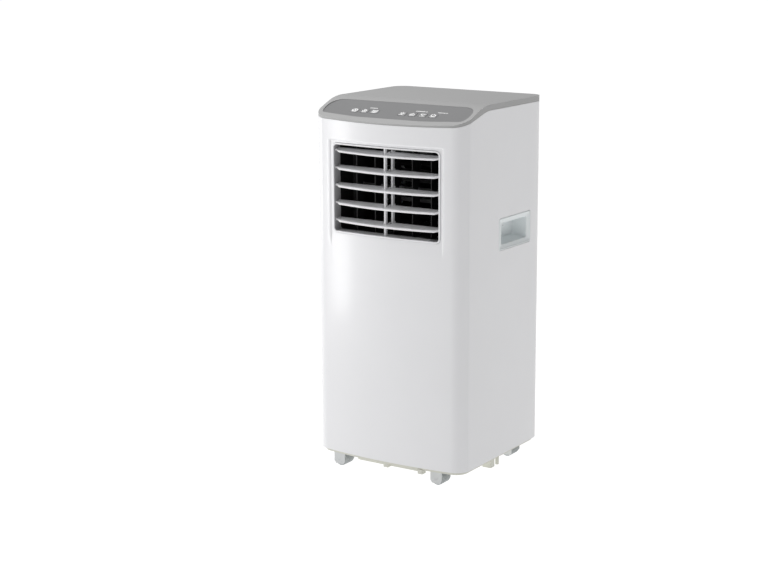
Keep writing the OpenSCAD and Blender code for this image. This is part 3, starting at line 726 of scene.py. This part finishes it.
def build_louver_frame(mats):
    """Sleeve behind the opening: a white mouth, then painted shade deeper in: grey walls, black further in.
    """
    mouth, grey_shade_to = 9.0, 28.0
    rib_reach = 8.0
    obj = refine("louver_frame", mats["blade_white"], 0)
    mesh = obj.data
    bm = bmesh.new()
    bm.from_mesh(mesh)
    for depth in (mouth, grey_shade_to):
        bmesh.ops.bisect_plane(bm, geom=bm.verts[:] + bm.edges[:] + bm.faces[:], dist=1e-6,
                               plane_co=(0, (FRONT + depth) * MM, 0), plane_no=(0, 1, 0))
    # deeper faces are painted grey, then black, as painted shade in the sleeve; the rib stays white
    white, black, grey = range(3)
    for face in bm.faces:
        middle = face.calc_center_median() / MM
        depth = middle.y - FRONT
        if depth > grey_shade_to:
            face.material_index = black
        elif depth > mouth and abs(middle.x) > rib_reach:
            face.material_index = grey
        else:
            face.material_index = white
    bm.to_mesh(mesh)
    bm.free()
    mesh.materials.append(mats["duct_black"])
    mesh.materials.append(mats["sleeve_painted_shade"])
    add_bevel(obj, 0.4, 2)


# ---------------------------------------------------------------- handles, filters, screws

def round_ring(width, height, radius, steps=6):
    """Rounded rectangle as (u, v) points, anticlockwise."""
    points = []
    for quarter, (su, sv) in enumerate(((1, 1), (-1, 1), (-1, -1), (1, -1))):
        for k in range(steps + 1):
            t = math.pi / 2 * (quarter + k / steps)
            points.append((su * (width / 2 - radius) + radius * math.cos(t),
                           sv * (height / 2 - radius) + radius * math.sin(t)))
    return points


def build_handle(node, side, mats):
    """Moulded grip cup: a rim, a sloped flange and a rounded cavity, as a closed thin-walled shell."""
    low, high = box(node)
    middle = (low + high) / 2
    long, tall, deep = high.y - low.y, high.z - low.z, high.x - low.x
    wall = 2.2
    rim, cup = (long, tall), (long - 24, tall - 20)
    # (outline, its growth, corner radius, depth below the side of the housing), from the back of the
    # cup round its outside to the rim, over the flange and down into the cavity
    loops = [(cup, -4, 4, deep - 0.4), (cup, 3, 6, deep - 2.4), (cup, 4.4, 6, deep - 5),
             (cup, 4.4, 6, wall + 1.2), (rim, -3, 4, wall + 0.6), (rim, -0.4, 5, wall),
             (rim, -0.4, 5, 0.6), (rim, -1, 4.8, 0.15), (rim, -2, 4.4, 0), (rim, -4.6, 4, 0.05),
             (rim, -5.4, 3.6, 0.7), (rim, -6.6, 3.2, 0.95), (cup, 3.6, 5, 1.9), (cup, 1.2, 4.6, 2.2),
             (cup, 0, 4, 3.4), (cup, -0.6, 4, 6), (cup, -3.4, 4, deep - 7), (cup, -5.4, 5, deep - 3.4),
             (cup, -9, 5, deep - wall)]
    rows = []
    for (width, height), growth, corner, depth in loops:
        rows.append([(side * (HALF_W - depth), middle.y + u, middle.z + v)
                     for u, v in round_ring(width + growth, height + growth, corner)])
    bm = bmesh.new()
    skin(bm, rows, closed=True, caps=True)
    add_piece(node + "_grip", bm, mats["handle_white"], node, [node], smooth_angle=38)
    # catch at the front upper corner of the cavity, with a black disk on it as painted shade for its screw
    # hole
    y, z = middle.y - cup[0] / 2 + 5, middle.z + cup[1] / 2 - 4.5
    half_l, below, above = 3.2, 1.4, 4.2
    x_low, x_high = sorted((side * (HALF_W - wall), side * (HALF_W - 7)))
    bm = bmesh.new()
    slab(bm, (x_low, y - half_l, z - below), (x_high, y + half_l, z + above))
    catch = add_piece(node + "_catch", bm, mats["handle_white"], node)
    add_bevel(catch, 0.8, 3)
    bm = bmesh.new()
    # black disk on the catch's face: painted shade where the screw hole is
    rod(bm, (side * (HALF_W - 2.6), y, z + 1), (side * (HALF_W - 2.05), y, z + 1), 1.1)
    add_piece(node + "_hole", bm, mats["duct_black"], node)


NET_INSET = 5.0         # from the edge of a filter panel
NET_Y = (0.1, 0.7)      # behind the panel's inner face


def build_filter(node, mats):
    """Slatted panel with a fine net inside it."""
    refine(node, mats["shell_white"], 0.45)
    low, high = box(node)
    bm = bmesh.new()
    slab(bm, (low.x + NET_INSET, low.y + NET_Y[0], low.z + NET_INSET),
         (high.x - NET_INSET, low.y + NET_Y[1], high.z - NET_INSET))
    add_piece(node + "_net", bm, mats["filter_net"], node)


SCREW_X = (-129, 129)
SCREW_Z = (62, 262, 405, 662)
SCREW_SIDES = 24
SCREW_SINK = 0.2        # of a screw's head below the back
HEAD = ((3.5, 1.5), (3.5, 0.9), (3.1, 0.35), (2.4, 0))      # (radius, depth) rings of a head
CROSS_ARM, CROSS_HALF, CROSS_DEPTH = 1.7, 0.38, 1.0
SHANK_R, SHANK_L = 1.5, 14.0


def add_screw(bm, x, z):
    """Pan-head screw with a cross recess."""
    face_y = BACK - SCREW_SINK
    rings = []
    for radius, depth in HEAD:
        turns = (2 * math.pi * k / SCREW_SIDES for k in range(SCREW_SIDES))
        rings.append([(x + radius * math.cos(t), face_y - depth, z + radius * math.sin(t)) for t in turns])
    made = skin(bm, rings, closed=True)
    bm.faces.new(list(reversed(made[0])))
    arm, half = CROSS_ARM, CROSS_HALF
    cross = [(arm, -half), (arm, half), (half, half), (half, arm), (-half, arm), (-half, half),
             (-arm, half), (-arm, -half), (-half, -half), (-half, -arm), (half, -arm), (half, -half)]
    top = [bm.verts.new((x + u, face_y, z + v)) for u, v in cross]
    pit = [bm.verts.new((x + u * 0.7, face_y - CROSS_DEPTH, z + v * 0.7)) for u, v in cross]
    edges = [bm.edges.new(pair) for pair in zip(top, top[1:] + top[:1])]
    rim = [bm.edges.get(pair) for pair in zip(made[-1], made[-1][1:] + made[-1][:1])]
    bmesh.ops.bridge_loops(bm, edges=edges + rim)
    for k in range(len(cross)):
        n = (k + 1) % len(cross)
        bm.faces.new((top[k], top[n], pit[n], pit[k]))
    bm.faces.new(pit)
    rod(bm, (x, BACK - SHANK_L, z), (x, face_y - 1.4, z), SHANK_R, 12)


def build_screws(material):
    """The screws of the rear panel, in their counterbores."""
    bm = bmesh.new()
    for x in SCREW_X:
        for z in SCREW_Z:
            add_screw(bm, x, z)
    add_piece("screw_heads", bm, material, "screws", ["screws"], smooth_angle=35)


# ---------------------------------------------------------------- casters

CHEEK_T = 2.2           # thickness of a fork's cheek
CHEEK_GAP = 0.5         # between a cheek and the wheel
GROOVES = 5
GROOVE_DEPTH = 0.9
AXLE_R = 1.98
HUB_R = 6.0


def build_wheel(node, material, hub_material):
    """Grey tread with moulded grooves, on a paler axle with a hub cap on both sides."""
    low, high = box(node)
    centre = (low + high) / 2
    radius = (high.z - low.z) / 2
    reach = (high.y - low.y) / 2
    half = reach - CHEEK_T - CHEEK_GAP
    shoulder = [(0, -half), (radius - 2.0, -half), (radius - 1.0, -half + 0.4),
                (radius - 0.35, -half + 1.2)]
    profile = list(shoulder)
    pitch = (2 * half - 4) / GROOVES
    for number in range(GROOVES):
        start = -half + 2 + number * pitch
        profile += [(radius, start), (radius, start + pitch * 0.55),
                    (radius - GROOVE_DEPTH, start + pitch * 0.65),
                    (radius - GROOVE_DEPTH, start + pitch * 0.9)]
    profile += [(radius, half - 1.6)] + [(r, -y) for r, y in reversed(shoulder)]
    bm = bmesh.new()
    turned(bm, profile, centre, 48)
    add_piece(node + "_tread", bm, material, node, [node], smooth_angle=40)
    bm = bmesh.new()
    turned(bm, [(0, -reach), (1.6, -reach), (AXLE_R, -reach + 0.4), (AXLE_R, reach - 0.4), (1.6, reach),
                (0, reach)], centre, 24)
    for side in (-1, 1):
        cap = [(0, 0.35), (HUB_R - 0.6, 0.35), (HUB_R, 0.1), (HUB_R, -0.4), (0, -0.4)]
        turned(bm, [(r, side * (half + y)) for r, y in cap], centre, 32)
    add_piece(node + "_axle", bm, hub_material, node, smooth_angle=40)


def build_caster(place, mats):
    refine("caster_fork_" + place, mats["caster_white"], 0.9, 3)
    build_wheel("caster_wheel_" + place, mats["wheel_grey"], mats["caster_white"])


# ---------------------------------------------------------------- control area

KEY_LINE = -112.0       # middle of the row of keys
FASCIA_DROP = 1.4       # the fascia lies this far below the slope's surface
KEY_PROUD = 0.5         # and a key stands this far above the fascia
PRINT_T = 0.12
PRINT_SINK = 0.02
LINE_W = 1.3            # of the symbols' lines, before they are scaled
ICON_LIFT = 0.9         # of a symbol's middle, up the slope
ICON_SCALE = (1.75, 1.35)
KEY_BAR = (11.2, -4.4, 1.6)         # length, place and width of the bar under a symbol
FASCIA_BARS = [(-52, 16), (50, 24), (94, 20)]       # (x, length) of the bars above the keys
FASCIA_BAR_Y = 12.5
FASCIA_BAR_W = 1.9
FASCIA_BAR_BREAK = (3.2, 4.4)       # gap in each bar, from its right end


def slope_frame(x, lift):
    """Frame on the keys' line, lift above the slope: x across, y up the slope, z out of it."""
    start_y = BLEND_Y - BLEND_R * math.sin(TOP_SLOPE)
    start_z = TOP - BLEND_R * (1 - math.cos(TOP_SLOPE))
    zero = Vector((x, KEY_LINE, start_z - (start_y - KEY_LINE) * math.tan(TOP_SLOPE)))
    turn = Matrix.Rotation(TOP_SLOPE, 4, "X")
    return Matrix.Translation(zero) @ turn @ Matrix.Translation((0, 0, lift))


def stroke(bm, points, width=LINE_W, closed=False):
    """A printed line of even width through points, as a thin plate in the local plane."""
    pts = [Vector((x, y, 0)) for x, y in points]
    n = len(pts)
    up = Vector((0, 0, PRINT_T))
    rows = []
    for k, point in enumerate(pts):
        before = pts[(k - 1) % n] if closed or k else point
        after = pts[(k + 1) % n] if closed or k < n - 1 else point
        line = (after - before).normalized()
        side = Vector((-line.y, line.x, 0)) * width / 2
        rows.append([point - side, point + side, point + side + up, point - side + up])
    if closed:
        rows.append(rows[0])
    skin(bm, rows, closed=True, caps=not closed)


def arc_points(cx, cy, r, start, end, steps=14):
    """Points of an arc between two directions in degrees."""
    turns = (math.radians(start + (end - start) * k / steps) for k in range(steps + 1))
    return [(cx + r * math.cos(t), cy + r * math.sin(t)) for t in turns]


def icon_power(bm):
    stroke(bm, arc_points(0, 0, 2.6, 125, 415))
    stroke(bm, [(0, 0.6), (0, 3.4)])


def icon_swing(bm):
    for shift in (-2.0, 0.0, 2.0):
        stroke(bm, [(-3.4, shift + 0.8), (0, shift - 0.6), (3.4, shift + 0.8)])


def icon_timer(bm):
    stroke(bm, arc_points(0, 0, 2.9, 0, 345), closed=True)
    stroke(bm, [(0, 1.9), (0, 0), (1.5, -0.9)])


def icon_up(bm):
    stroke(bm, [(-3, -1.6), (0, 2.2), (3, -1.6), (-3, -1.6)], 1.5)


def icon_down(bm):
    stroke(bm, [(-3, 1.6), (0, -2.2), (3, 1.6), (-3, 1.6)], 1.5)


def icon_fan(bm):
    for k in range(3):
        a = 120 * k + 90
        x, y = 1.7 * math.cos(math.radians(a)), 1.7 * math.sin(math.radians(a))
        stroke(bm, arc_points(x, y, 1.25, a, a + 330, 10), 1.1)


def icon_mode(bm):
    for k in range(3):
        a = math.radians(60 * k + 30)
        x, y = 3.1 * math.cos(a), 3.1 * math.sin(a)
        stroke(bm, [(-x, -y), (x, y)], 1.1)
    stroke(bm, arc_points(0, 0, 1.5, 0, 330, 11), 0.9, closed=True)


ICONS = [icon_timer, icon_fan, icon_swing, icon_mode, icon_up, icon_down, icon_power]


def build_keys(mats):
    """Key caps, each with a symbol and a bar printed on it."""
    for number in range(1, KEYS + 1):
        node = "key_%d" % number
        refine(node, mats["fascia_grey"], 0.5, 3)
        low, high = box(node)
        bm = bmesh.new()
        ICONS[number - 1](bm)
        bmesh.ops.transform(bm, verts=bm.verts, matrix=Matrix.Translation((0, ICON_LIFT, 0))
                            @ Matrix.Diagonal((*ICON_SCALE, 1, 1)))
        length, y, width = KEY_BAR
        stroke(bm, [(-length / 2, y), (length / 2, y)], width)
        lift = KEY_PROUD - FASCIA_DROP - PRINT_SINK
        bmesh.ops.transform(bm, verts=bm.verts, matrix=slope_frame((low.x + high.x) / 2, lift))
        add_piece(node + "_print", bm, mats["print_white"], node)


def build_fascia(mats):
    """The darker insert with the broken bars that stand for the text above the keys."""
    refine("control_fascia", mats["fascia_grey"], 0.5)
    bm = bmesh.new()
    y = FASCIA_BAR_Y
    for x, length in FASCIA_BARS:
        left, right = x - length / 2, x + length / 2
        stroke(bm, [(left, y), (right - FASCIA_BAR_BREAK[1], y)], FASCIA_BAR_W)
        stroke(bm, [(right - FASCIA_BAR_BREAK[0], y), (right, y)], FASCIA_BAR_W)
    bmesh.ops.transform(bm, verts=bm.verts, matrix=slope_frame(0, -FASCIA_DROP - PRINT_SINK))
    add_piece("fascia_print", bm, mats["print_white"], "control_fascia")


# ---------------------------------------------------------------- assembly

def paint(node, material):
    """Gives a carried-over CAD node its procedural material."""
    mesh = NODES[node].data
    mesh.materials.clear()
    mesh.materials.append(material)
    for polygon in mesh.polygons:
        polygon.material_index = 0


def build_all(mats):
    build_front_panel(mats["shell_white"])
    for node in ("side_panel_left", "side_panel_right", "rear_panel"):
        refine(node, mats["shell_white"], 0.5)
    refine("top_cover", mats["cover_grey"], 1.6, 4)
    refine("base_pan", mats["base_cream"], 0.8)
    build_louver_frame(mats)
    refine("louver_link", mats["blade_white"], 0.4)
    refine("vane_link", mats["duct_black"], 0.4)
    for number in range(1, BLADES + 1):
        build_blade(number, mats["blade_white"])
    for number in range(1, VANES + 1):
        refine("vane_%d" % number, mats["duct_black"], 0.3)
    build_handle("handle_left", -1, mats)
    build_handle("handle_right", 1, mats)
    build_keys(mats)
    build_fascia(mats)
    for place in ("front_left", "front_right", "rear_left", "rear_right"):
        build_caster(place, mats)
    for node in ("upper_filter", "lower_filter"):
        build_filter(node, mats)
    refine("exhaust_collar", mats["shell_white"], 0.8, 3)
    for node in ("drain_plug_upper", "drain_plug_lower", "cord_gland"):
        refine(node, mats["rubber_black"], 0.4)
    build_screws(mats["motor_steel"])
    replaced = {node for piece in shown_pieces() for node in piece.get("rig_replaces", [])}
    for node in NODES:
        if node not in replaced:
            paint(node, mats[SLOT_OF[node]])


set_camera()
set_stage()
build_all(make_materials())

bpy.context.view_layer.update()
